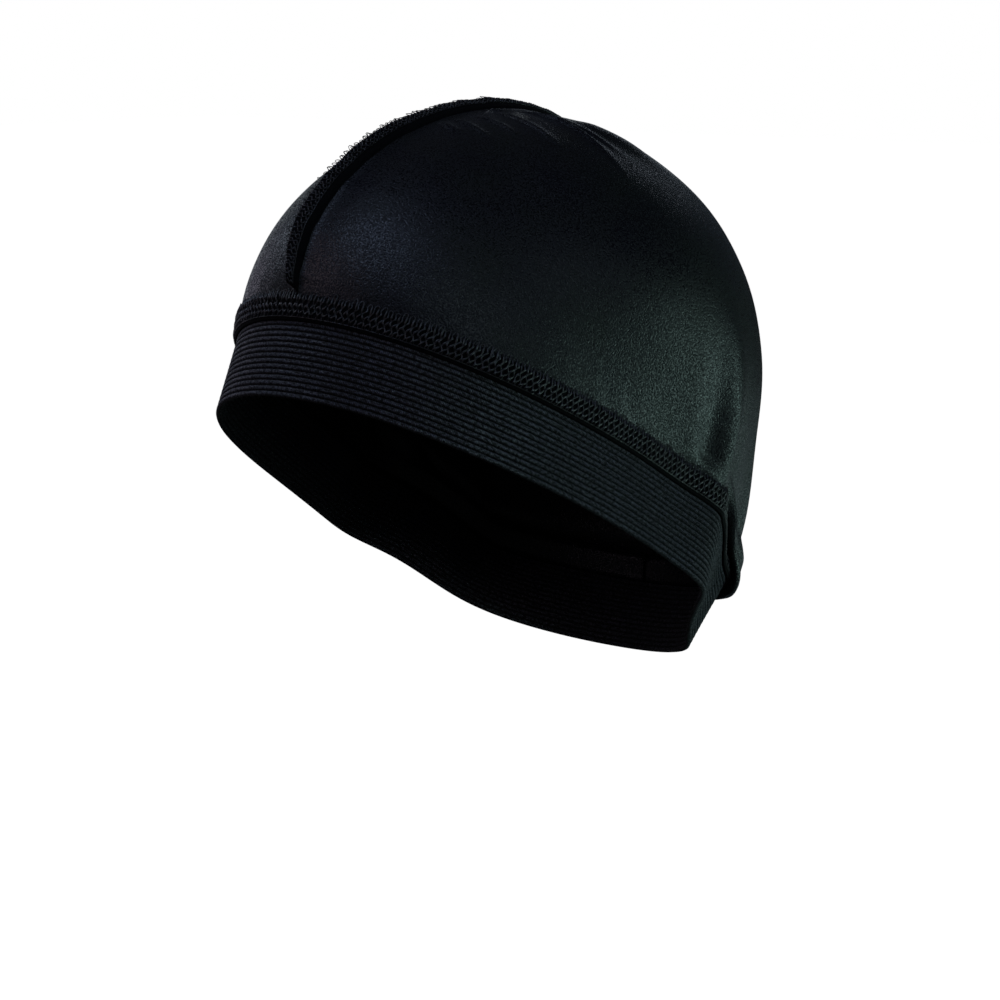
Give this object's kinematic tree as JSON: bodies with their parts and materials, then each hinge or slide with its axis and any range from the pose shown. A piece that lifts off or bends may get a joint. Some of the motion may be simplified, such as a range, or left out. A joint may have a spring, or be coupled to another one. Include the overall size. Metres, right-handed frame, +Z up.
{
  "type": "skull cap",
  "caption": "Stretch satin dome cap with an outside centre seam and a ribbed elastic band, held in its worn form and open underneath for the head.",
  "frame": {"origin": "on the head's upright axis inside the band, midway in height between the band's lowest edge at the forehead and at the nape, where a head carries the cap", "axes": "+Z up, -Y to the front over the forehead, +X to the wearer's left"},
  "size_m": [0.1648, 0.2101, 0.1999],
  "materials": {
    "satin": "smooth black stretch satin with a broad soft sheen and a very fine grain",
    "elastic": "matt black woven elastic with lengthwise ribs",
    "serging_thread": "black overlock thread in looped stitches"
  },
  "bodies": {
    "root": {"crown_panel_left": "satin", "crown_panel_right": "satin", "crown_seam": "serging_thread", "band": "elastic", "band_seam": "serging_thread"}
  },
  "joints": []
}
